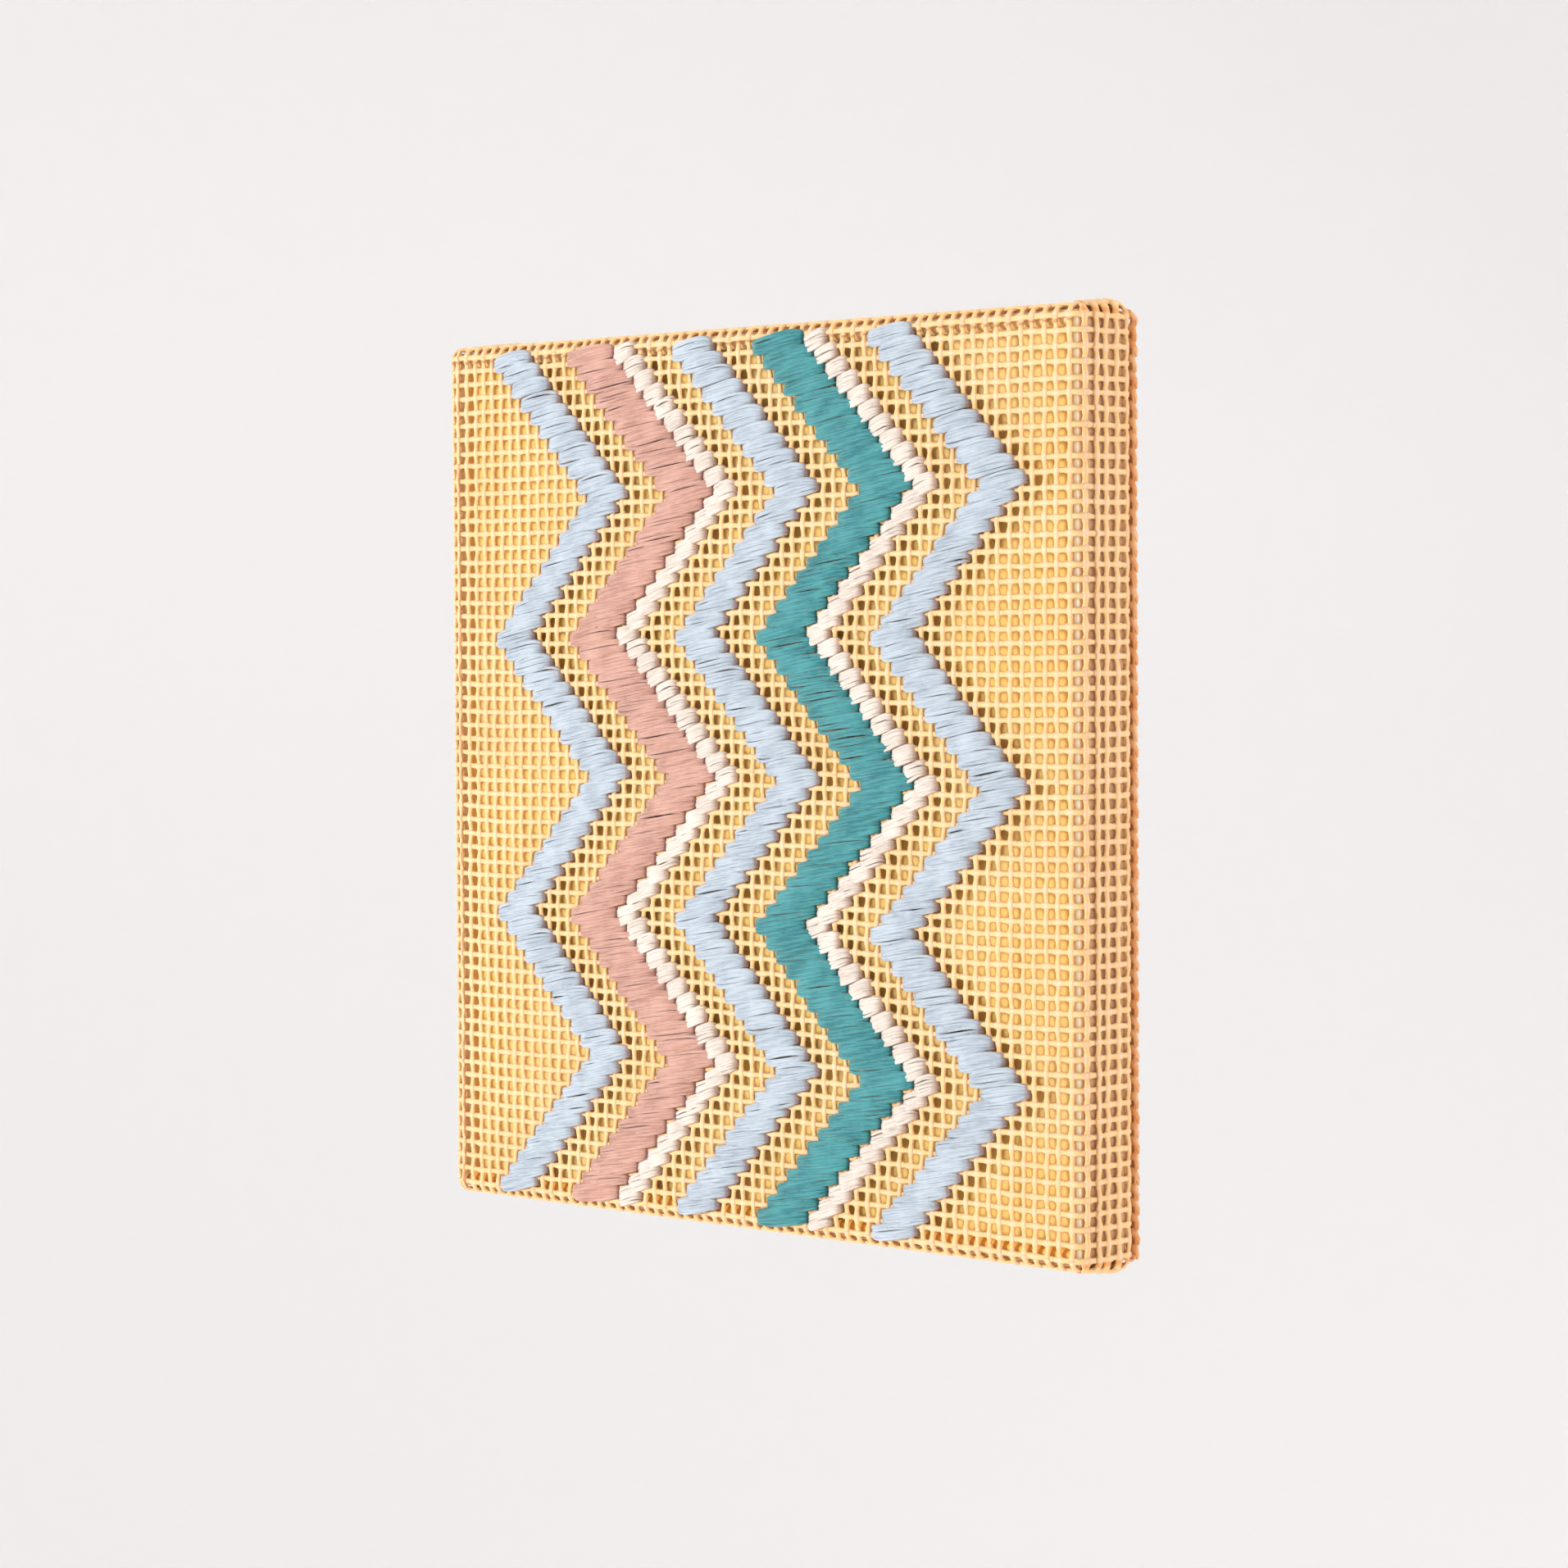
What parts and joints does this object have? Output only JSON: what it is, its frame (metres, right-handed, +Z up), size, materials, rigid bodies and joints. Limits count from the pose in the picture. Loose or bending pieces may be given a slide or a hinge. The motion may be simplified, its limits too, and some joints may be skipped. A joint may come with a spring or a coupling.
{
  "type": "embroidered panel on a stretcher frame",
  "caption": "Square wall panel of open mesh canvas stretched over a wooden frame, with wool chevrons stitched across it and a yellow board behind the mesh.",
  "frame": {"origin": "on the back plane, in the middle of the canvas strip turned over the top bar, where the panel lies against the wall", "axes": "+Y out of the back, towards the wall; +X to the right seen from the front; +Z up"},
  "size_m": [0.224, 0.0245, 0.2266],
  "materials": {
    "canvas": "stiff sized cotton mesh, warm cream, matt",
    "wood": "bare planed pine",
    "board": "flat yellow-orange, matt",
    "wool_blue": "soft two-ply wool",
    "wool_mauve": "soft two-ply wool",
    "wool_teal": "soft two-ply wool",
    "wool_white": "soft two-ply wool"
  },
  "bodies": {
    "root": {"canvas": "canvas", "bar.top": "wood", "bar.right": "wood", "bar.bottom": "wood", "bar.left": "wood", "board": "board", "wool.blue.left": "wool_blue", "wool.mauve": "wool_mauve", "wool.white.left": "wool_white", "wool.blue.middle": "wool_blue", "wool.teal": "wool_teal", "wool.white.right": "wool_white", "wool.blue.right": "wool_blue"}
  },
  "joints": []
}
